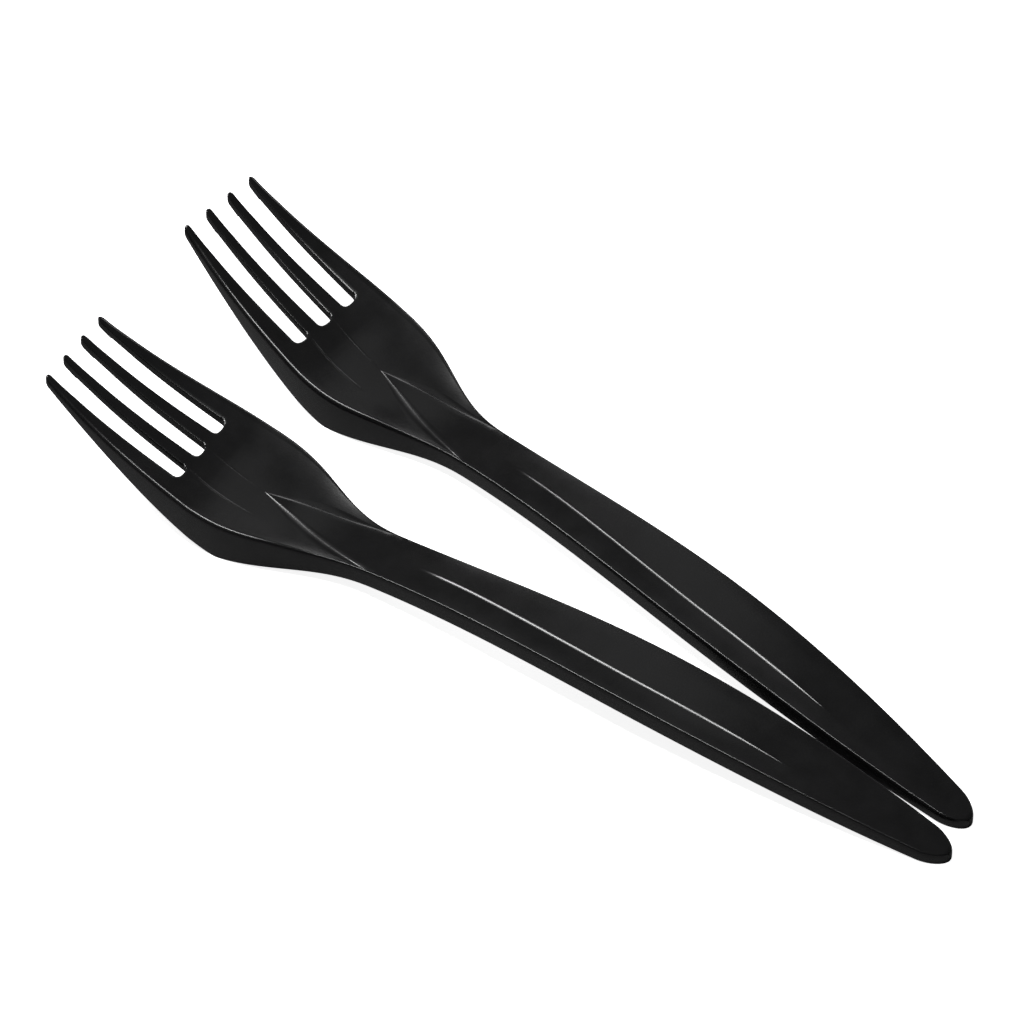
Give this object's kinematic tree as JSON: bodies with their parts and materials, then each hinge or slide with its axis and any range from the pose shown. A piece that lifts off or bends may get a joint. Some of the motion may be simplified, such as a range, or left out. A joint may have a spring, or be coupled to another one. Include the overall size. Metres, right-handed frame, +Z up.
{
  "type": "plastic fork set",
  "caption": "Slim black moulded plastic forks with arched tapering handles, a raised wedge at the bowl and slender tines, lying face up side by side in a narrow V.",
  "frame": {"origin": "middle of the footprint, on the surface that the forks lie on", "axes": "+X along the middle of the V towards the handle ends, tines towards -X, +Z up"},
  "size_m": [0.1812, 0.0608, 0.0219],
  "materials": {
    "black_plastic": "satin, injection moulded"
  },
  "bodies": {
    "root": {"fork_front": "black_plastic", "fork_rear": "black_plastic"}
  },
  "joints": []
}
